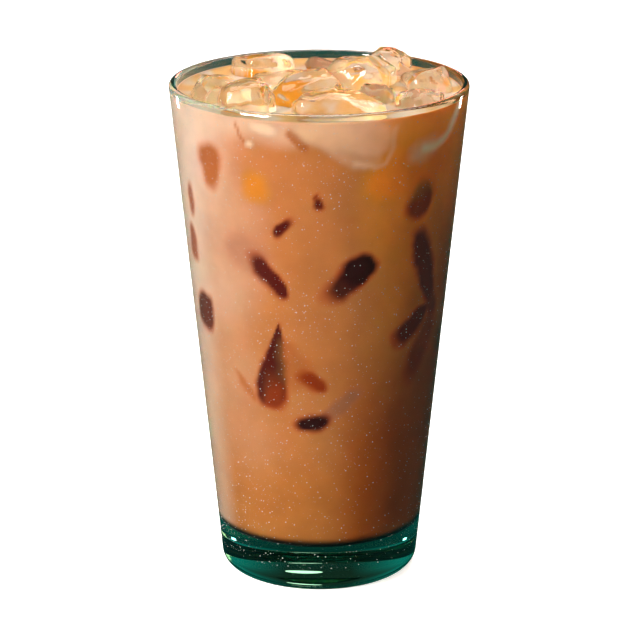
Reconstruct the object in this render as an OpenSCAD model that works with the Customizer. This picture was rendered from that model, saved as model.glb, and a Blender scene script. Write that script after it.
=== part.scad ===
// Iced latte in a straight-sided mixing glass.
// Millimetres, +Z up. The origin is the middle of the circle that the glass stands on.

/* [Glass] */
// Height of the glass, from the foot ring to the rim
glass_h = 151; // [120:1:190]
// Outer diameter at the rim
rim_d = 89; // [72:0.5:110]
// Outer diameter that the tapered side would have at the foot
foot_d = 59; // [48:0.5:72]
// Thickness of the wall at the rim
rim_wall = 2.3; // [1.6:0.1:3.5]
// Thickness of the wall just above the floor
low_wall = 3.2; // [2:0.1:5]
// Thickness of the solid glass under the drink
floor_t = 14.2; // [8:0.2:22]
// Radius of the heel, between the side and the foot
heel_r = 4.6; // [2:0.1:7]
// Radius in the corner where the wall meets the floor inside
corner_r = 5; // [2:0.1:9]
// Width of the flat ring that the glass stands on
foot_ring = 3; // [2:0.1:5]
// Depth of the hollow under the foot
punt_depth = 1.6; // [0.6:0.1:3]

/* [Drink] */
// Distance from the rim down to the surface of the drink
level_drop = 3.2; // [2.4:0.2:8]

/* [Ice] */
// Room taken off each block, so that neighbours and the wall stay clear of it
ice_gap = 0.6; // [0.4:0.1:2]
// How square the blocks are: 1 is an egg shape, and a small number is a sharp cube
ice_square = 0.46; // [0.4:0.02:0.9]
// How much each block narrows towards its lower end, as a share of its width
ice_taper = 0.1; // [0.04:0.02:0.3]

/* [Hidden] */
turn_fn = 128;
arc_steps = 10;

// The outer side: its radius at a height, and how far it leans out
side_slope = (rim_d - foot_d) / 2 / glass_h;
side_lean = atan(side_slope);
function outer_r(z) = foot_d / 2 + side_slope * z;

// The rounded lip, and the inner side that runs up to it
lip_r = rim_wall / 2;
lip_z = glass_h - lip_r;
mouth_r = outer_r(lip_z) - rim_wall;
low_r = outer_r(floor_t) - low_wall;
wall_slope = (mouth_r - low_r) / (lip_z - floor_t);
wall_lean = atan(wall_slope);
function inner_r(z) = low_r + wall_slope * (z - floor_t);

// The surface of the drink, and the radius that is open down to the lowest ends of the blocks
level_z = glass_h - level_drop;
block_reach = 0.3 * mouth_r;
heap_r = inner_r(level_z - block_reach);

// The blocks that break the surface, as shares of that radius, so the heap always fits its glass:
// [x, y, middle over the surface], [turns about x, y and z], [width, depth, height]
ICE = [
    [[-0.42, 0.61, -0.065], [-8, 6, 14], [0.51, 0.47, 0.43]],
    [[-0.27, 0.17, -0.085], [5, -4, -8], [0.55, 0.4, 0.39]],
    [[-0.74, -0.15, -0.095], [6, 10, 18], [0.44, 0.5, 0.43]],
    [[-0.76, 0.28, -0.175], [-6, 6, -14], [0.35, 0.34, 0.37]],
    [[-0.505, -0.58, -0.025], [-6, -8, 12], [0.44, 0.44, 0.47]],
    [[-0.07, -0.29, -0.045], [8, -15, 20], [0.58, 0.51, 0.47]],
    [[0.13, -0.77, -0.055], [4, 6, 3], [0.73, 0.4, 0.47]],
    [[0.3, 0.28, -0.055], [-6, -6, -14], [0.57, 0.57, 0.51]],
    [[0.53, 0.69, -0.055], [4, -6, -36], [0.43, 0.26, 0.45]],
    [[0.08, 0.81, -0.125], [-5, 6, 2], [0.48, 0.38, 0.39]],
    [[0.79, 0.15, -0.07], [-8, -6, 10], [0.38, 0.56, 0.45]],
    [[0.39, -0.25, -0.095], [10, 12, 20], [0.34, 0.37, 0.41]],
    [[0.72, -0.44, -0.09], [-6, -4, -30], [0.32, 0.42, 0.41]],
];

// Points on an arc round a centre, from one angle to another
function arc(centre, radius, from, to) = [
    for (i = [0:arc_steps])
        let (a = from + (to - from) * i / arc_steps)
        centre + radius * [cos(a), sin(a)]
];

// The inside of the glass, from the middle of the floor to the top of the rounded corner
function corner_outline() =
    let (z = floor_t + corner_r, x = inner_r(z) - corner_r / cos(wall_lean))
    concat([[0, floor_t]], arc([x, z], corner_r, -90, -wall_lean));

// The glass: a hollow under the foot, the heel, the side, the lip and back down the inside
module glass() {
    heel = [outer_r(heel_r) - heel_r / cos(side_lean), heel_r];
    hollow_r = heel.x - foot_ring;
    inside = corner_outline();
    color([0.75, 0.9, 0.85, 0.4])
        rotate_extrude($fn = turn_fn)
            polygon(concat(
                [for (i = [0:arc_steps])
                    let (share = i / arc_steps)
                    [hollow_r * share, punt_depth * (1 - share * share)]],
                arc(heel, heel_r, -90, -side_lean),
                arc([mouth_r + lip_r, lip_z], lip_r, 0, 180),
                [for (i = [len(inside) - 1:-1:0]) inside[i]]
            ));
}

// The drink fills the glass to its level, and is cut round every block that breaks the surface
module latte() {
    color("peru")
        difference() {
            rotate_extrude($fn = turn_fn)
                polygon(concat(corner_outline(), [[inner_r(level_z), level_z], [0, level_z]]));
            for (i = [0:len(ICE) - 1]) ice_block(i);
        }
}

// One block: a cube whose edges have melted, set out as rings of points from its foot to its top
block_turns = 12;
block_rings = 9;
block_top = 1 + block_rings * block_turns;
function melted(v) = sign(v) * pow(abs(v), ice_square);
function block_ring(size, lat) =
    let (z = melted(sin(lat)), across = melted(cos(lat)) * (1 + ice_taper * (z - 1) / 2))
    [for (k = [0:block_turns - 1])
        let (lon = 360 * (k + 0.5) / block_turns)
        [size.x * across * melted(cos(lon)), size.y * across * melted(sin(lon)), size.z * z] / 2];
function block_points(size) = concat(
    [[0, 0, -size.z / 2]],
    [for (j = [1:block_rings]) each block_ring(size, 180 * j / (block_rings + 1) - 90)],
    [[0, 0, size.z / 2]]
);
function at(ring, k) = 1 + ring * block_turns + k % block_turns;
block_faces = concat(
    [for (k = [0:block_turns - 1]) [0, at(0, k), at(0, k + 1)]],
    [for (j = [0:block_rings - 2], k = [0:block_turns - 1]) each [
        [at(j, k), at(j + 1, k), at(j + 1, k + 1)],
        [at(j, k), at(j + 1, k + 1), at(j, k + 1)]
    ]],
    [for (k = [0:block_turns - 1])
        [block_top, at(block_rings - 1, k + 1), at(block_rings - 1, k)]]
);

module ice_block(i) {
    size = heap_r * ICE[i][2] - [ice_gap, ice_gap, ice_gap];
    translate([0, 0, level_z] + heap_r * ICE[i][0])
        rotate(ICE[i][1])
            polyhedron(block_points(size), block_faces);
}

module ice(i) {
    color("linen")
        ice_block(i);
}

glass();
latte();
for (i = [0:len(ICE) - 1])
    ice(i);
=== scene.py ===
import math
import random

import bmesh
import bpy
import numpy as np
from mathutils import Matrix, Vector, noise


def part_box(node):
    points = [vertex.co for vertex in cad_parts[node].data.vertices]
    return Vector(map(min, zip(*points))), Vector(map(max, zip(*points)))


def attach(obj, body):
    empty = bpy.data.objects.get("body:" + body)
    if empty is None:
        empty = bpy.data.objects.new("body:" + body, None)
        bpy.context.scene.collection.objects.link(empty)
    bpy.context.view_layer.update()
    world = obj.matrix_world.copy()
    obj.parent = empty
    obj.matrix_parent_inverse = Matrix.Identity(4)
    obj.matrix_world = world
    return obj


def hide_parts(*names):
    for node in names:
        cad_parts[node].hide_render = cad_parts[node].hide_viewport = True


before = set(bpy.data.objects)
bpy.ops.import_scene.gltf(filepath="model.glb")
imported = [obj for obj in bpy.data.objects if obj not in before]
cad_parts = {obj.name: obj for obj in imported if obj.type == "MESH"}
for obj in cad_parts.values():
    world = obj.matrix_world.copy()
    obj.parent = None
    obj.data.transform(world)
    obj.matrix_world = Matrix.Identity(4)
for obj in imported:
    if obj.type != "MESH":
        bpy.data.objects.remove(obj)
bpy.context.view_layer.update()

root = "root"


# ---- The camera and the studio ------------------------------------------------------------
# The glass stands alone on a pale paper sweep, seen from a little above its rim. A large soft box
# at the front left and a wide one overhead light it, and low strips and a lamp behind light the
# thick base. The room round it is dim, with teal walls that show only in the glass.
rim_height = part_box("glass")[1][2]
camera_distance = 0.85
camera_over_rim = 0.19341
camera_pitch = 17.465
camera_aside = 0.00024

focal_length, film_width = 165.7, 36
nearest_seen = 0.05

camera_lens = bpy.data.cameras.new("camera")
camera_lens.lens = focal_length
camera_lens.sensor_width = film_width
camera_lens.clip_start = nearest_seen
camera = bpy.data.objects.new("camera", camera_lens)
camera.location = (camera_aside, -camera_distance, rim_height + camera_over_rim)
camera.rotation_euler = (math.radians(90 - camera_pitch), 0, 0)
bpy.context.collection.objects.link(camera)
bpy.context.scene.camera = camera


def node_tools(tree):
    """Two ways to work on a node tree: add a node, with its inputs joined or set, and join."""
    def add(kind, inputs=None, **settings):
        made = tree.nodes.new(kind)
        for key, value in settings.items():
            setattr(made, key, value)
        for key, value in (inputs or {}).items():
            if isinstance(value, bpy.types.NodeSocket):
                tree.links.new(value, made.inputs[key])
            else:
                made.inputs[key].default_value = value
        return made

    def join(source, target):
        tree.links.new(source, target)

    return add, join


def new_material(name):
    """A material with its shader, and the ways to add and join its nodes."""
    material = bpy.data.materials.new(name)
    material.use_nodes = True
    return material, material.node_tree.nodes["Principled BSDF"], *node_tools(material.node_tree)


def mesh_piece(name, points, faces, *materials):
    """A piece made of points and faces, with its materials in order."""
    mesh = bpy.data.meshes.new(name)
    mesh.from_pydata([tuple(p) for p in points], [], [tuple(f) for f in faces])
    for material in materials:
        mesh.materials.append(material)
    piece = bpy.data.objects.new(name, mesh)
    bpy.context.collection.objects.link(piece)
    return piece


sweep_paper, shader, add, join = new_material("pale_sweep_paper")
paper_place = add("ShaderNodeTexCoord").outputs["Object"]
paper_grain = add("ShaderNodeTexNoise", {"Vector": paper_place, "Scale": 60})
paper_tone = add("ShaderNodeValToRGB", {"Fac": paper_grain.outputs["Fac"]})
paper_tone.color_ramp.elements[0].color = (0.86, 0.86, 0.86, 1)
paper_tone.color_ramp.elements[1].color = (0.92, 0.92, 0.92, 1)
join(paper_tone.outputs["Color"], shader.inputs["Base Color"])
shader.inputs["Roughness"].default_value = 0.9
shader.inputs["Emission Color"].default_value = (1, 1, 1, 1)
shader.inputs["Emission Strength"].default_value = 0.7

sweep_front, sweep_back, sweep_half_width = -2.5, 1.6, 2.5
sweep_bend, sweep_top = 0.8, 3.0
bend_steps = 12
sweep_line = [(sweep_front, 0), (sweep_back - sweep_bend, 0)]
for step in range(1, bend_steps + 1):
    turn = math.radians(90 * step / bend_steps)
    sweep_line.append((
        sweep_back - sweep_bend + sweep_bend * math.sin(turn),
        sweep_bend - sweep_bend * math.cos(turn),
    ))
sweep_line.append((sweep_back, sweep_top))
sweep_points = [(side * sweep_half_width, y, z) for y, z in sweep_line for side in (-1, 1)]
sweep_faces = [(2 * k, 2 * k + 1, 2 * k + 3, 2 * k + 2) for k in range(len(sweep_line) - 1)]
sweep = mesh_piece("sweep", sweep_points, sweep_faces, sweep_paper)
for polygon in sweep.data.polygons:
    polygon.use_smooth = True
sweep.visible_diffuse = False
sweep.visible_transmission = False
sweep.visible_glossy = False

# Each lamp: its place, width, height, watts and colour. All of them point a little over the middle
# of the glass. The warm fill is kept out of the reflections, and the lamp behind is oval.
aim_share = 0.55
aim = Vector((0, 0, rim_height * aim_share))
for name, place, width, height, power, colour in (
    ("key_soft_box", (-0.72, -0.6, 0.36), 0.4, 0.6, 38, (1, 0.95, 0.88)),
    ("overhead_soft_box", (0.05, 0.25, 0.85), 0.8, 0.6, 8, (1, 0.98, 0.95)),
    ("left_strip", (-0.5, 0.5, 0.02), 0.05, 0.08, 0.16, (1, 1, 1)),
    ("right_strip", (0.5, 0.5, 0.02), 0.06, 0.08, 0.2, (1, 1, 1)),
    ("back_lamp", (0.09, 0.85, 0.42), 0.22, 0.07, 0.4, (1, 0.34, 0.26)),
    ("rim_strip", (0.62, 0.3, 0.3), 0.14, 0.6, 1.5, (1, 0.5, 0.25)),
    ("warm_fill", (0.5, -0.78, 0.15), 0.5, 0.5, 3.2, (1, 0.42, 0.18)),
):
    lamp = bpy.data.lights.new(name, "AREA")
    lamp.shape = "ELLIPSE" if name == "back_lamp" else "RECTANGLE"
    lamp.size, lamp.size_y = width, height
    lamp.energy = power
    lamp.color = colour
    lamp_object = bpy.data.objects.new(name, lamp)
    lamp_object.location = place
    lamp_object.rotation_euler = (aim - Vector(place)).to_track_quat("-Z", "Y").to_euler()
    lamp_object.visible_glossy = name != "warm_fill"
    bpy.context.collection.objects.link(lamp_object)

# The room that the glass mirrors and bends: green-black low down and warm brown higher up, with
# dark teal at the foot of the side walls and a lit band of teal over it.
room = bpy.data.worlds.new("room")
room.use_nodes = True
background = room.node_tree.nodes["Background"]
add, join = node_tools(room.node_tree)


def faded(value, start, end):
    """A share that runs from nothing at the start to one at the end."""
    return add("ShaderNodeMapRange", {
        "Value": value, "From Min": start, "From Max": end,
    }).outputs["Result"]


def both(one, other):
    """The product of two shares."""
    return add("ShaderNodeMath", {0: one, 1: other}, operation="MULTIPLY").outputs["Value"]


def over(colour, share, paint):
    """A colour with a share of paint over it."""
    return add("ShaderNodeMix", {
        "Factor": share, "A": colour, "B": paint,
    }, data_type="RGBA").outputs["Result"]


gaze = add("ShaderNodeSeparateXYZ", {"Vector": add("ShaderNodeTexCoord").outputs["Generated"]})
upward = gaze.outputs["Z"]
sidelong = add("ShaderNodeMath", {0: gaze.outputs["X"]}, operation="ABSOLUTE").outputs["Value"]
room_tone = add("ShaderNodeValToRGB", {"Fac": upward})
room_tone.color_ramp.elements[0].position = 0.12
room_tone.color_ramp.elements[0].color = (0.004, 0.06, 0.05, 1)
room_tone.color_ramp.elements[1].position = 0.45
room_tone.color_ramp.elements[1].color = (0.07, 0.048, 0.03, 1)
low_walls = both(faded(sidelong, 0.6, 1), faded(upward, 0.0, -0.2))
lit_band = both(faded(upward, 0.1, 0.22), faded(upward, 0.6, 0.45))
lit_walls = both(lit_band, faded(sidelong, 0.2, 0.7))
dark_teal, lit_teal = (0.015, 0.15, 0.13, 1), (0.02, 0.36, 0.31, 1)
room_colour = over(over(room_tone.outputs["Color"], low_walls, dark_teal), lit_walls, lit_teal)
join(room_colour, background.inputs["Color"])
background.inputs["Strength"].default_value = 1
bpy.context.scene.world = room
bpy.context.scene.view_settings.view_transform = "Standard"
bpy.context.scene.cycles.use_denoising = True
bpy.context.scene.cycles.max_bounces = 16
bpy.context.scene.cycles.transmission_bounces = 14
bpy.context.scene.cycles.diffuse_bounces = 4


# ---- The glass ----------------------------------------------------------------------------
# A straight-sided mixing glass, pressed from soda-lime glass with a thick base and a rounded,
# fire-polished lip. The glass is faintly green, which only the depth of the base shows. That green
# is deeper than such glass has: a painted reflection of dark green surroundings seen through the
# base.
def seam_outline(node):
    """A round node's outline as (radius, height), walked up its seam from the axis."""
    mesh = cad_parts[node].data
    near = 2e-6  # as close to the seam's plane as a rounded mesh point comes
    beside = {}
    for edge in mesh.edges:
        a, b = (mesh.vertices[k].co for k in edge.vertices)
        if max(abs(a.y), abs(b.y)) > near or min(a.x, b.x) < -near:
            continue
        a, b = ((round(p.x, 6), round(p.z, 6)) for p in (a, b))
        if a != b:
            beside.setdefault(a, set()).add(b)
            beside.setdefault(b, set()).add(a)
    walked = [min(p for p in beside if len(beside[p]) == 1)]
    while True:
        onward = [p for p in beside[walked[-1]] if p not in walked]
        if not onward:
            return walked
        walked.append(onward[0])


def lathe(name, outline, turns, *materials):
    """A closed solid turned from an outline that starts and ends on the axis."""
    on_axis = 1e-7
    points, faces, last = [], [], None
    for radius, height in outline:
        if radius < on_axis:
            ring = [len(points)]
            points.append((0, 0, height))
        else:
            ring = list(range(len(points), len(points) + turns))
            for k in range(turns):
                angle = 2 * math.pi * k / turns
                points.append((radius * math.cos(angle), radius * math.sin(angle), height))
        if last is not None:
            for k in range(turns):
                here, there = k, (k + 1) % turns
                if len(last) == 1:
                    faces.append((last[0], ring[there], ring[here]))
                elif len(ring) == 1:
                    faces.append((last[here], last[there], ring[0]))
                else:
                    faces.append((last[here], last[there], ring[there], ring[here]))
        last = ring
    piece = mesh_piece(name, points, faces, *materials)
    shape = bmesh.new()
    shape.from_mesh(piece.data)
    bmesh.ops.recalc_face_normals(shape, faces=shape.faces)
    shape.to_mesh(piece.data)
    shape.free()
    for polygon in piece.data.polygons:
        polygon.use_smooth = True
    return piece


clear_glass, shader, add, join = new_material("clear_green_glass")
shader.inputs["Base Color"].default_value = (1, 1, 1, 1)
shader.inputs["Transmission Weight"].default_value = 1
shader.inputs["IOR"].default_value = 1.5
glass_place = add("ShaderNodeTexCoord").outputs["Object"]
wipe_marks = add("ShaderNodeTexNoise", {"Vector": glass_place, "Scale": 90})
glass_sheen = add("ShaderNodeMapRange", {
    "Value": wipe_marks.outputs["Fac"], "To Min": 0.0, "To Max": 0.03,
})
join(glass_sheen.outputs["Result"], shader.inputs["Roughness"])
# Painted reflection: a green far deeper than real glass, so the base shows green surroundings.
green_cast = add("ShaderNodeVolumeAbsorption")
green_cast.inputs["Color"].default_value = (0.1, 0.72, 0.65, 1)
green_cast.inputs["Density"].default_value = 45
join(green_cast.outputs["Volume"], clear_glass.node_tree.nodes["Material Output"].inputs["Volume"])

glass_outline = seam_outline("glass")
glass_turns = 256
floor_middle = (0, glass_outline[-1][1])
glass = lathe("mixing_glass", glass_outline + [floor_middle], glass_turns, clear_glass)
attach(glass, root)
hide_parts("glass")


# ---- The ice that breaks the surface ------------------------------------------------------
# Machine-made cubes of clear ice that float in the drink and have begun to melt. Each has the
# place of its packed block, with chipped corners and faces worn into shallow hollows. It is wet,
# and the coffee stains it a little.
melting_ice, shader, add, join = new_material("melting_ice")
shader.inputs["Base Color"].default_value = (1, 0.985, 0.96, 1)
shader.inputs["Transmission Weight"].default_value = 1
shader.inputs["IOR"].default_value = 1.31
ice_place = add("ShaderNodeTexCoord").outputs["Object"]
frost = add("ShaderNodeTexNoise", {"Vector": ice_place, "Scale": 130, "Detail": 3})
frost_range = add("ShaderNodeMapRange", {
    "Value": frost.outputs["Fac"], "From Min": 0.45, "From Max": 0.8,
    "To Min": 0.0, "To Max": 0.12,
})
join(frost_range.outputs["Result"], shader.inputs["Roughness"])
melt_ripple = add("ShaderNodeTexNoise", {"Vector": ice_place, "Scale": 260, "Detail": 1})
ripple_bump = add("ShaderNodeBump", {
    "Height": melt_ripple.outputs["Fac"], "Strength": 0.12, "Distance": 0.001,
})
join(ripple_bump.outputs["Normal"], shader.inputs["Normal"])
coffee_stain = add("ShaderNodeVolumeAbsorption")
coffee_stain.inputs["Color"].default_value = (0.98, 0.92, 0.78, 1)
coffee_stain.inputs["Density"].default_value = 7
ice_output = melting_ice.node_tree.nodes["Material Output"]
join(coffee_stain.outputs["Volume"], ice_output.inputs["Volume"])


def merged_copy(node, name):
    """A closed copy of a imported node, whose own mesh is loose triangles."""
    same_point = 1e-6
    shape = bmesh.new()
    shape.from_mesh(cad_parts[node].data)
    bmesh.ops.remove_doubles(shape, verts=shape.verts, dist=same_point)
    bmesh.ops.recalc_face_normals(shape, faces=shape.faces)
    mesh = bpy.data.meshes.new(name)
    shape.to_mesh(mesh)
    shape.free()
    piece = bpy.data.objects.new(name, mesh)
    bpy.context.collection.objects.link(piece)
    return piece


def apply_modifiers(piece):
    """The piece's mesh becomes what its modifiers make of it."""
    modified = piece.evaluated_get(bpy.context.evaluated_depsgraph_get())
    made = bpy.data.meshes.new_from_object(modified)
    piece.modifiers.clear()
    piece.data = made
    return piece


def shifted(piece, name, distance_at):
    """A copy of a piece with each point moved along its normal."""
    mesh = piece.data.copy()
    mesh.name = name
    moved = [v.co + v.normal * distance_at(v.co) for v in mesh.vertices]
    for vertex, place in zip(mesh.vertices, moved):
        vertex.co = place
    copy = bpy.data.objects.new(name, mesh)
    bpy.context.collection.objects.link(copy)
    return copy


ice_grain = 0.0008
melt_strength, melt_passes = 0.6, 6
dimple_depth, dimple_size, dimple_bias = 0.0011, 0.0065, 0.15
wear_depth, wear_size, wear_bias = 0.00025, 0.0022, 0.5
chip_count, chip_depth, chip_bite = 7, 0.0021, 1.1
ice_seed = 11
chance = random.Random(ice_seed)
ice_nodes = sorted((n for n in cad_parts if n.startswith("ice_")), key=lambda n: int(n[4:]))
ice_pieces = []
for number, node in enumerate(ice_nodes):
    block = merged_copy(node, "melting_" + node)
    grain = block.modifiers.new("grain", "REMESH")
    grain.mode = "VOXEL"
    grain.voxel_size = ice_grain
    soften = block.modifiers.new("soften", "SMOOTH")
    soften.factor = melt_strength
    soften.iterations = melt_passes
    apply_modifiers(block)
    offset = Vector((7.3 * number, 3.1 * number, 0))

    low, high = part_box(node)
    middle = (Vector(low) + Vector(high)) / 2
    chips = []
    for k in range(chip_count):
        lean = Vector((chance.uniform(-1, 1), chance.uniform(-1, 1), chance.uniform(0.1, 1)))
        lean.normalize()
        furthest = max((v.co - middle).dot(lean) for v in block.data.vertices)
        chips.append((lean, furthest - chance.uniform(0.4, 1) * chip_depth))

    def worn(place, offset=offset, middle=middle, chips=chips):
        """How far the wear and the chips move a point of this cube."""
        hollow = noise.noise(place / dimple_size + offset)
        fine = noise.noise(place / wear_size - offset)
        chipped = max(0, max((place - middle).dot(lean) - cut for lean, cut in chips))
        dimpled = dimple_depth * max(0, hollow + dimple_bias)
        return -dimpled - wear_depth * (fine + wear_bias) - chip_bite * chipped

    finished = shifted(block, "melting_" + node + "_worn", worn)
    bpy.data.objects.remove(block)
    # The wear takes a little off the top, and the cube floats up by as much.
    float_up = high[2] - max(v.co.z for v in finished.data.vertices)
    for vertex in finished.data.vertices:
        vertex.co.z += float_up
    finished.name = "cube_" + node[4:]
    finished.data.materials.append(melting_ice)
    for polygon in finished.data.polygons:
        polygon.use_smooth = True
    ice_pieces.append(finished)
    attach(finished, root)
    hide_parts(node)


# ---- The latte ----------------------------------------------------------------------------
# Milky coffee, poured over the ice to just under the rim. It reaches a hair into the wall and
# into the ice, so no air shows between them, and it climbs a little where it meets the wall.
reach = 0.00015
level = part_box("latte")[1][2]
climb, climb_width = 0.0008, 0.0009
wall_step = 0.00075
floor_rings = 6
drink_turns = 340

lip_at = max(range(len(glass_outline)), key=lambda k: glass_outline[k][1])
inside = list(reversed(glass_outline[lip_at:]))
inside_heights = [z for _, z in inside]
inside_radii = [r for r, _ in inside]


def inner_radius(height):
    """The radius of the inside of the glass at a height."""
    return float(np.interp(height, inside_heights, inside_radii))


# The rounded corner ends where the outline makes its one long step, up the straight wall.
long_step = 0.01
floor_height, floor_radius = inside_heights[0], inside_radii[0]
steps_up = zip(inside_heights, inside_heights[1:])
corner_top = next(z for z, upper in steps_up if upper - z > long_step)
drink_outline = [
    (floor_radius * k / floor_rings, floor_height - reach) for k in range(floor_rings)
]
for radius, height in inside:
    if height <= corner_top:
        share = (height - floor_height) / (corner_top - floor_height)
        drink_outline.append((radius + reach * share, height - reach * (1 - share)))
wall_top = level + climb
wall_count = round((wall_top - corner_top) / wall_step)
for k in range(1, wall_count + 1):
    height = corner_top + (wall_top - corner_top) * k / wall_count
    drink_outline.append((inner_radius(height) + reach, height))

# The rings of the surface, by their distance from the wall: close together where it climbs.
mouth = inner_radius(level)
surface_steps = [0.0002 * k for k in range(1, 10)] + [0.0026, 0.0034]
surface_steps += list(np.arange(0.0044, mouth, 0.0022))
smallest_ring = 0.0006
for inward in surface_steps:
    if mouth - inward > smallest_ring:
        drink_outline.append((mouth - inward, level + climb * math.exp(-inward / climb_width)))
drink_outline.append((0, level))

milky_coffee, shader, add, join = new_material("milky_coffee")
drink_colour = add("ShaderNodeAttribute", attribute_name="drink_colour")
drink_place = add("ShaderNodeTexCoord").outputs["Object"]
curdle = add("ShaderNodeTexNoise", {"Vector": drink_place, "Scale": 140, "Detail": 4})
curdle_range = add("ShaderNodeMapRange", {
    "Value": curdle.outputs["Fac"], "From Min": 0.3, "From Max": 0.7,
    "To Min": 0.94, "To Max": 1.06,
})
swirled = add("ShaderNodeVectorMath", {
    0: drink_colour.outputs["Color"], 1: curdle_range.outputs["Result"],
}, operation="MULTIPLY")
join(swirled.outputs["Vector"], shader.inputs["Base Color"])
shader.inputs["Roughness"].default_value = 0.4
shader.inputs["Specular IOR Level"].default_value = 0.05
shader.inputs["Subsurface Weight"].default_value = 0.3
shader.inputs["Subsurface Radius"].default_value = (1, 0.3, 0.12)
shader.inputs["Subsurface Scale"].default_value = 0.003

latte = lathe("latte_in_glass", drink_outline, drink_turns, milky_coffee)
for cube in ice_pieces:
    bed = shifted(cube, cube.name + "_bed", lambda place: -reach)
    cut = latte.modifiers.new("bed", "BOOLEAN")
    cut.operation = "DIFFERENCE"
    cut.solver = "MANIFOLD"
    cut.object = bed
    apply_modifiers(latte)
    bpy.data.objects.remove(bed)
for polygon in latte.data.polygons:
    polygon.use_smooth = True
# The cuts bring the ice's material along, and the drink keeps only its own.
latte.data.materials.clear()
latte.data.materials.append(milky_coffee)

# The ice under the surface lies against the wall here and there, and shows through a fine film of
# drink. It is not built: its look is painted on the drink in these tints, the dark ones as painted
# shade inside the ice, the pale ones as painted light.
tints = {
    "black": (0.036, 0.005, 0.006), "plum": (0.085, 0.005, 0.003), "shade": (0.17, 0.012, 0.008),
    "rust": (0.27, 0.03, 0.005), "brown": (0.36, 0.09, 0.024), "toffee": (0.37, 0.075, 0.008),
    "amber": (0.66, 0.2, 0.014), "orange": (1.0, 0.26, 0.025), "mauve": (0.27, 0.12, 0.075),
    "cream": (0.95, 0.47, 0.29), "white": (1.0, 0.62, 0.43), "glare": (1.0, 0.9, 0.75),
}
# Each place: angle round the glass and height of its middle, turn, length and width in mm, taper,
# softness in mm at its end, start, upper and lower side, strength, tint.
windows = [
    (-49.5, 132.3, -88, 12.5, 7.6, 0.3, 3.0, 2.4, 2.2, 2.4, 0.9, "toffee"),
    (-26.8, 128.0, -83, 8.2, 6.6, 0, 2.6, 2.8, 3.0, 2.6, 0.9, "amber"),
    (-8.4, 143.2, -43, 6.8, 2.8, 0, 1.6, 1.2, 1.0, 1.0, 0.8, "brown"),
    (0.2, 124.2, -88, 3.4, 3.0, -0.3, 1.2, 1.4, 0.9, 0.9, 0.95, "plum"),
    (-1.4, 126.2, 62, 2.4, 0.9, 0, 1.0, 0.6, 0.6, 0.6, 0.7, "plum"),
    (-15.9, 116.6, 40, 7.0, 3.2, 0.2, 2.6, 1.0, 0.9, 1.1, 1.0, "plum"),
    (47.1, 122.7, 65, 12.0, 9.0, 0, 2.8, 2.8, 3.0, 1.6, 0.95, "rust"),
    (-33.0, 107.5, -24, 13.0, 9.0, 0, 3.6, 3.4, 4.0, 4.0, 0.5, "mauve"),
    (-22.4, 101.3, -52, 15.5, 4.8, 0.15, 1.6, 3.6, 1.0, 2.4, 1.0, "plum"),
    (17.8, 103.8, 30, 10.5, 8.0, 0.1, 1.6, 2.4, 1.6, 2.0, 1.0, "black"),
    (12.4, 99.8, 38, 13, 6.4, 0, 1.6, 5.0, 2.0, 2.0, 0.95, "black"),
    (53.4, 101.5, -70, 24, 7.5, 0.1, 3.2, 3.0, 2.4, 2.0, 1.0, "shade"),
    (61.0, 90.0, -64, 12, 4.5, 0, 2.4, 3, 2, 1.6, 0.9, "shade"),
    (-64.6, 85.2, 78, 11.5, 9.0, 0, 2.0, 2.4, 2.0, 1.6, 0.95, "plum"),
    (-67.1, 119.2, 88, 9.0, 3.2, 0, 2.2, 2.2, 1.4, 1.4, 0.85, "rust"),
    (-70.1, 105.7, -89, 10, 4.6, 0, 2.2, 2.2, 1.4, 1.6, 0.85, "rust"),
    (-22.4, 73.2, 80, 26.5, 6.8, 0.75, 1.0, 1.6, 1.6, 2.4, 1.0, "plum"),
    (-23.2, 64.0, 84, 9, 5.4, 0.1, 6, 1.0, 2.0, 3.4, 0.9, "rust"),
    (-12.4, 73.6, -66, 16, 7.6, -0.4, 2.6, 2.6, 2.8, 3.4, 0.55, "brown"),
    (-3.0, 69.0, -29, 8.0, 4.2, 0, 1.4, 3.0, 1.4, 1.6, 0.95, "rust"),
    (-39.2, 65.2, -53, 10.5, 2.2, 0, 1.6, 3, 1.0, 2.0, 0.6, "brown"),
    (9.5, 60.6, 42, 15, 4.0, 0, 3, 2.4, 2.0, 2.4, 0.6, "mauve"),
    (-3.2, 55.4, 14, 9.6, 4.4, 0, 2.0, 1.8, 1.6, 1.6, 1.0, "black"),
    (49.1, 83.7, 34, 15, 6.2, 0.2, 1.8, 4.0, 1.8, 2.4, 1.0, "shade"),
    (57.5, 76.0, 62, 20, 7.0, 0, 4, 5, 3, 4, 0.7, "shade"),
]
# Round the back, out of the light, they lie in the same way, painted as dark shade.
for place in range(16):
    windows.append((
        95 + place * 11 + chance.uniform(-4, 4), chance.uniform(45, 135), chance.uniform(-90, 90),
        chance.uniform(6, 17), chance.uniform(3.5, 8), chance.uniform(-0.3, 0.3),
        *(chance.uniform(1.2, 3.2) for _ in range(4)), chance.uniform(0.7, 1),
        chance.choice(("black", "plum", "rust", "brown")),
    ))
# Higher up the cubes that break the surface press their pale sides to the wall, painted as pale
# ice
# with painted light: an orange glow and white highlights.
windows += [
    (11.0, 144.4, -10, 27, 9.5, -0.15, 1.8, 3.4, 2.8, 2.0, 0.5, "cream"),
    (13.0, 140.0, -18, 18, 8.0, -0.3, 1.6, 3.4, 3.4, 2.0, 0.36, "cream"),
    (44.0, 132.5, 12, 32, 13, 0, 5, 5, 5, 5, 0.75, "orange"),
    (26.0, 128.5, -15, 10.0, 6.0, 0, 3.6, 3.6, 4.0, 4.0, 0.6, "orange"),
    (46.5, 137.5, 15, 9.5, 5.0, 0, 3.6, 3.6, 3.0, 3.0, 0.7, "white"),
    (-22.0, 146.2, -12, 6.5, 2.4, 0, 2, 2, 1.2, 1.4, 0.85, "white"),
]
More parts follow.
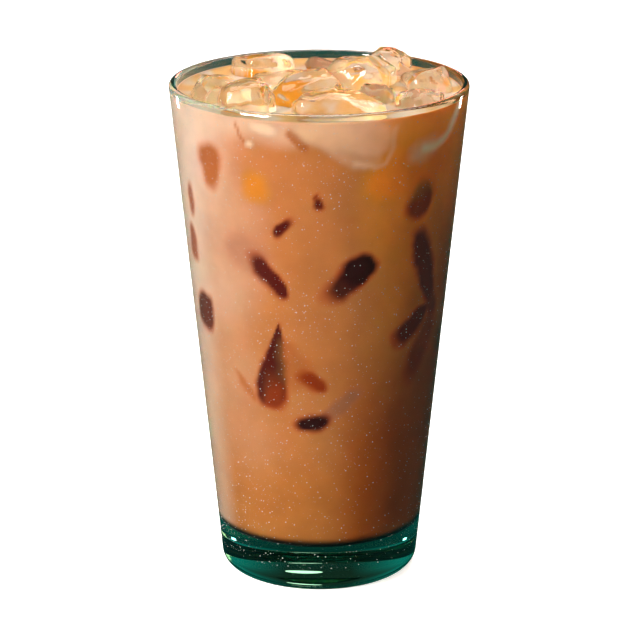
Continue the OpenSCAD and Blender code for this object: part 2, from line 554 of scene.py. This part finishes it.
# Lines of light and shade along their edges: angles and heights of the bends, half width and
# softness in mm, strength, tint.
glints = [
    ([(31.0, 145.5), (30.6, 140.0), (27.6, 136.0), (22.5, 134.6), (15, 136.0)],
     0.3, 1.0, 0.55, "cream"),
    ([(70.0, 149.0), (66.0, 144.5), (60.0, 140.5), (52.0, 138.0), (46, 138)],
     0.7, 1.8, 0.85, "glare"),
    ([(-34.5, 146.5), (-32.0, 143.0), (-30.0, 141.3)], 0.35, 0.6, 0.7, "brown"),
    ([(-29.0, 141.2), (-28.2, 141.2)], 0.6, 0.9, 0.7, "white"),
    ([(53.5, 128.5), (55.5, 122.0), (53.0, 116.5), (47.0, 114.5)], 0.4, 1.0, 0.5, "orange"),
]
coffee, caramel = np.array((0.52, 0.168, 0.055)), np.array((0.46, 0.13, 0.022))
pale_milk, milk_lit_right = np.array((0.7, 0.4, 0.27)), np.array((1.0, 0.56, 0.32))
painted_glow, russet = np.array((1.0, 0.32, 0.04)), np.array((0.42, 0.08, 0.01))
syrup, haze_and_sheen = np.array((0.3, 0.045, 0.006)), np.array((0.84, 0.56, 0.46))
corner_shade = np.array((0.02, 0.006, 0.003))

mesh = latte.data
places = np.empty(len(mesh.vertices) * 3)
mesh.vertices.foreach_get("co", places)
places = places.reshape(-1, 3)
heights = places[:, 2]
radii = np.hypot(places[:, 0], places[:, 1])
angles = np.arctan2(places[:, 0], -places[:, 1])
sideways = np.sin(angles)
wall_radii = np.array([inner_radius(z) for z in heights])
hair = 0.00005
on_wall = radii > wall_radii - hair


def smooth(value, start, end):
    """A share that runs softly from nothing at the start to one at the end."""
    share = np.clip((value - start) / (end - start), 0, 1)
    return share * share * (3 - 2 * share)


def washed(under, paint, share):
    """Colours with a share of paint over them."""
    share = share[:, None]
    return under * (1 - share) + paint * share


# The coffee's colour: milk at the top, caramel low down, and painted light and shade over it:
# warmer milk and a painted glow to the right, where light comes through, painted shade low on
# the right and down the far right, and pale to the left, partly mist and partly painted sheen.
sway_size = 0.018
sway = np.array([noise.noise(Vector(p) / sway_size) for p in places])
milk = washed(pale_milk, milk_lit_right, smooth(sideways, 0, 0.85))
veil = smooth(heights + 0.004 * sway, level - 0.009, level - 0.001) * 0.8
caramel_low_down = (1 - smooth(heights + 0.006 * sway, 0.03, 0.056)) * 0.6
lit_through = smooth(sideways + 0.1 * sway, 0.25, 0.6) * smooth(heights, 0.05, 0.14) * 0.95
painted_shade_low_right = smooth(sideways, 0, 0.45) * (1 - smooth(heights, 0.045, 0.085)) * 0.8
painted_shade_far_right = smooth(sideways + 0.2 * sway, 0.62, 1) * smooth(level - heights, 0.01, 0.06) * 0.9
mist_and_sheen = 0.85 * smooth(0.25 * sway - sideways, 0.25, 1.1) * smooth(heights, 0.01, 0.16)
mist_and_sheen = np.clip(mist_and_sheen + 0.5 * smooth(-sideways, 0.78, 1), 0, 0.9) * on_wall
colours = np.tile(coffee, (len(places), 1))
for paint, share in (
    (milk, veil), (caramel, caramel_low_down), (painted_glow, lit_through), (russet, painted_shade_low_right), (syrup, painted_shade_far_right),
    (haze_and_sheen, mist_and_sheen),
):
    colours = washed(colours, paint, share)


slow_stray, slow_size = 0.9, 0.006
fine_stray, fine_size = 0.35, 0.0022


def drift(place, offset):
    """How far an outline strays at a place, in mm: a slow bend and a fine one."""
    slow = slow_stray * noise.noise(place / slow_size + offset)
    return slow + fine_stray * noise.noise(place / fine_size + offset)


across_offset, up_offset = Vector((9.3, -1.5, -8.0)), Vector((6.3, 0.2, -2.7))
warp = np.array([(drift(Vector(p), across_offset), drift(Vector(p), up_offset)) for p in places])
mm = 1000
red_fade, green_fade, blue_fade = 1.5, 0.9, 0.8


def flat(angle, height, margin):
    """The wall points near a place, unrolled: which they are, and how far across and up in mm."""
    across = (np.mod(angles - math.radians(angle) + math.pi, 2 * math.pi) - math.pi) * radii * mm
    up = heights * mm - height
    near = (np.hypot(across, up) < margin) & on_wall
    return near, across[near] + warp[near, 0], up[near] + warp[near, 1]


def tinted(near, shown, tint):
    """The drink's colour gives way to the tint. Red is the last to go, so the edges get a painted
    glow.
    """
    shown = np.stack([shown ** red_fade, shown ** green_fade, shown ** blue_fade], axis=1)
    colours[near] = colours[near] * (1 - shown) + np.array(tints[tint]) * shown


window_margin, glint_margin = 10, 40
squareness = 2.5
fade_inside, fade_outside = 0.6, 0.9
nothing, far_away = 1e-9, 1e3
for angle, height, turn, length, width, taper, *softness, strength, tint in windows:
    near, across, up = flat(angle, height, length / 2 + window_margin)
    lean = math.radians(turn)
    along = (across * math.cos(lean) + up * math.sin(lean)) / (length / 2)
    half_width = width / 2 * (1 - taper * np.clip(along, -1, 1))
    aside = (up * math.cos(lean) - across * math.sin(lean)) / half_width
    outward = (np.abs(along) ** squareness + np.abs(aside) ** squareness) ** (1 / squareness)
    lengthwise = along ** 2 / (along ** 2 + aside ** 2 + nothing)
    soft = lengthwise * np.where(along > 0, softness[0], softness[1])
    soft += (1 - lengthwise) * np.where(aside > 0, softness[2], softness[3])
    past = (outward - 1) * (lengthwise * length / 2 + (1 - lengthwise) * half_width)
    tinted(near, strength * (1 - smooth(past, -fade_inside * soft, fade_outside * soft)), tint)
for line, half_width, softness, strength, tint in glints:
    middle = np.mean(line, axis=0)
    near, across, up = flat(middle[0], middle[1], glint_margin)
    radius = inner_radius(middle[1] / mm) * mm
    bends = [(math.radians(a - middle[0]) * radius, h - middle[1]) for a, h in line]
    apart = np.full(len(across), far_away)
    for (x0, y0), (x1, y1) in zip(bends, bends[1:]):
        run, rise = x1 - x0, y1 - y0
        share = ((across - x0) * run + (up - y0) * rise) / (run ** 2 + rise ** 2)
        share = np.clip(share, 0, 1)
        apart = np.minimum(apart, np.hypot(across - x0 - share * run, up - y0 - share * rise))
    faint = smooth(apart, half_width - softness / 2, half_width + softness)
    tinted(near, strength * (1 - faint), tint)

# A narrow dark line is painted along the floor's edge: painted shade, for the dark line that the
# glass's corner shows there.
foot_line = 1 - smooth(heights, floor_height + 0.0012, floor_height + 0.0035)
colours = washed(colours, corner_shade, foot_line)

# The beds that the ice sits in glow with the light that the cubes let in, and the open surface is
# cloudy with milk.
peach, apricot = np.array((0.98, 0.86, 0.7)), np.array((1.0, 0.56, 0.1))
deep_apricot, wall_milk = np.array((0.97, 0.6, 0.2)), pale_milk * 1.2
clear_patch, milky_patch = np.array((0.52, 0.28, 0.1)), np.array((0.52, 0.39, 0.29))
glow_size, glow_offset = 0.0075, Vector((3, 1, 4))
glow = np.array([noise.noise(Vector(p) / glow_size + glow_offset) for p in places])
bed = washed(peach, apricot, smooth(glow + (level - heights) / 0.03, 0.08, 0.42))
bed = washed(bed, deep_apricot, smooth(level - heights, 0.005, 0.014))
bed = washed(bed, wall_milk, smooth(radii - wall_radii, -0.004, -0.001) * 0.85)
surface = washed(clear_patch, milky_patch, smooth(glow, -0.3, 0.3))
bed = np.where((heights > level - hair)[:, None], surface, bed)
colours[~on_wall] = bed[~on_wall]

drink_layer = mesh.color_attributes.new("drink_colour", "FLOAT_COLOR", "POINT")
opaque = np.ones((len(colours), 1))
drink_layer.data.foreach_set("color", np.concatenate([colours, opaque], axis=1).ravel())
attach(latte, root)
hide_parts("latte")


# ---- The condensation ---------------------------------------------------------------------
# Fine drops of water from the air, which stand on the cold outside of the glass. They are set on
# a copy of its side, thicker where it is wetter, with random sizes from a fixed seed.
water, shader, add, join = new_material("condensed_water")
# The drops are part white and only partly clear, so they show as bright specks: a painted sparkle.
shader.inputs["Base Color"].default_value = (1, 0.97, 0.94, 1)
shader.inputs["Transmission Weight"].default_value = 0.55
shader.inputs["IOR"].default_value = 1.33
drop_place = add("ShaderNodeTexCoord").outputs["Object"]
mist = add("ShaderNodeTexNoise", {"Vector": drop_place, "Scale": 400})
mist_range = add("ShaderNodeMapRange", {
    "Value": mist.outputs["Fac"], "To Min": 0.05, "To Max": 0.2,
})
join(mist_range.outputs["Result"], shader.inputs["Roughness"])

wet_low, wet_high = 0.008, rim_height - 0.003
side_rows, side_turns = 60, 180
driest, evenly_wet, wetter_left, patchy = 0.1, 0.35, 0.6, 0.5
patch_size, patch_offset = 0.02, Vector((5, 0, 2))
outside_radii, outside_heights = zip(*glass_outline[:lip_at + 1])
side_points, wetness = [], []
for row in range(side_rows + 1):
    height = wet_low + (wet_high - wet_low) * row / side_rows
    radius = float(np.interp(height, outside_heights, outside_radii))
    for k in range(side_turns):
        angle = 2 * math.pi * k / side_turns
        place = Vector((radius * math.sin(angle), -radius * math.cos(angle), height))
        side_points.append(place)
        leftward = 0.5 - 0.5 * math.sin(angle)
        patches = noise.noise(place / patch_size + patch_offset)
        wetness.append(max(driest, evenly_wet + wetter_left * leftward + patchy * patches))
side_faces = [
    (row * side_turns + k, row * side_turns + (k + 1) % side_turns,
     (row + 1) * side_turns + (k + 1) % side_turns, (row + 1) * side_turns + k)
    for row in range(side_rows) for k in range(side_turns)
]
drops = mesh_piece("condensation", side_points, side_faces)
drops.data.attributes.new("wetness", "FLOAT", "POINT").data.foreach_set("value", wetness)

bead_tree = bpy.data.node_groups.new("beads_of_water", "GeometryNodeTree")
bead_sizes = {
    "Drops per Square Metre": 400000.0, "Smallest Drop": 0.00006, "Largest Drop": 0.0002,
    "Flatness": 0.6,
}
drop_seed = 7
rarity = 3.0
bead_tree.interface.new_socket("Geometry", in_out="INPUT", socket_type="NodeSocketGeometry")
for name in bead_sizes:
    bead_tree.interface.new_socket(name, in_out="INPUT", socket_type="NodeSocketFloat")
bead_tree.interface.new_socket("Seed", in_out="INPUT", socket_type="NodeSocketInt")
bead_tree.interface.new_socket("Water", in_out="INPUT", socket_type="NodeSocketMaterial")
bead_tree.interface.new_socket("Geometry", in_out="OUTPUT", socket_type="NodeSocketGeometry")

add, _ = node_tools(bead_tree)
given = add("NodeGroupInput").outputs
damp = add("GeometryNodeInputNamedAttribute", {"Name": "wetness"}, data_type="FLOAT")
thickness = add("ShaderNodeMath", {
    0: damp.outputs["Attribute"], 1: given["Drops per Square Metre"],
}, operation="MULTIPLY")
spots = add("GeometryNodeDistributePointsOnFaces", {
    "Mesh": given["Geometry"], "Density": thickness.outputs["Value"], "Seed": given["Seed"],
}, distribute_method="RANDOM")
luck = add("FunctionNodeRandomValue", {"Seed": given["Seed"]}, data_type="FLOAT")
rare = add("ShaderNodeMath", {0: luck.outputs[1], 1: rarity}, operation="POWER")
bead_radius = add("ShaderNodeMapRange", {
    "Value": rare.outputs["Value"],
    "To Min": given["Smallest Drop"], "To Max": given["Largest Drop"],
}).outputs["Result"]
bead_height = add("ShaderNodeMath", {
    0: bead_radius, 1: given["Flatness"],
}, operation="MULTIPLY").outputs["Value"]
bead_scale = add("ShaderNodeCombineXYZ", {"X": bead_radius, "Y": bead_radius, "Z": bead_height})
bead = add("GeometryNodeMeshIcoSphere", {"Radius": 1.0, "Subdivisions": 1})
rounded = add("GeometryNodeSetShadeSmooth", {"Geometry": bead.outputs["Mesh"]})
beads = add("GeometryNodeInstanceOnPoints", {
    "Points": spots.outputs["Points"], "Instance": rounded.outputs["Geometry"],
    "Rotation": spots.outputs["Rotation"], "Scale": bead_scale.outputs["Vector"],
})
real_beads = add("GeometryNodeRealizeInstances", {"Geometry": beads.outputs["Instances"]})
wet_beads = add("GeometryNodeSetMaterial", {
    "Geometry": real_beads.outputs["Geometry"], "Material": given["Water"],
})
add("NodeGroupOutput", {"Geometry": wet_beads.outputs["Geometry"]})

beading = drops.modifiers.new("beading", "NODES")
beading.node_group = bead_tree
sockets = bead_tree.interface.items_tree
socket_of = {item.name: item.identifier for item in sockets if item.in_out == "INPUT"}
for name, value in bead_sizes.items():
    beading[socket_of[name]] = value
beading[socket_of["Seed"]] = drop_seed
beading[socket_of["Water"]] = water
apply_modifiers(drops)
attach(drops, root)
